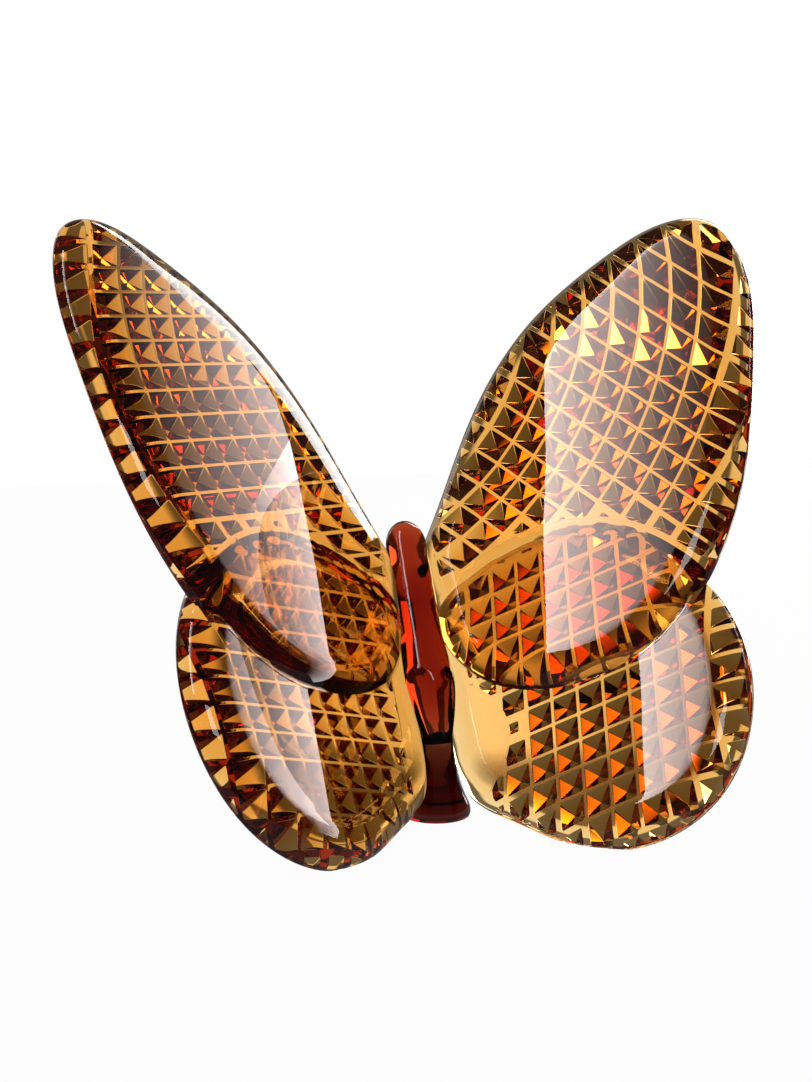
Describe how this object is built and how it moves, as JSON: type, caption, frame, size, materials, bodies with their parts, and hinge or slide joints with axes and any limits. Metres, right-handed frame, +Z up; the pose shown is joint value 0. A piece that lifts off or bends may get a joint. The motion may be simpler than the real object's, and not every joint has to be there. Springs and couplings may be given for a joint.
{
  "type": "butterfly ornament",
  "caption": "Amber cut-crystal butterfly that stands on a flared foot, with smooth folded wings whose backs are cut in diamond points.",
  "frame": {"origin": "centre of the foot's flat face, on the table", "axes": "+Z up, the butterfly faces -Y, +X to the right of a viewer in front of it"},
  "size_m": [0.075, 0.0436, 0.0612],
  "materials": {
    "amber_crystal": "polished clear amber lead crystal"
  },
  "bodies": {
    "root": {"body": "amber_crystal", "foot": "amber_crystal", "left_forewing": "amber_crystal", "right_forewing": "amber_crystal", "left_hindwing": "amber_crystal", "right_hindwing": "amber_crystal"}
  },
  "joints": []
}
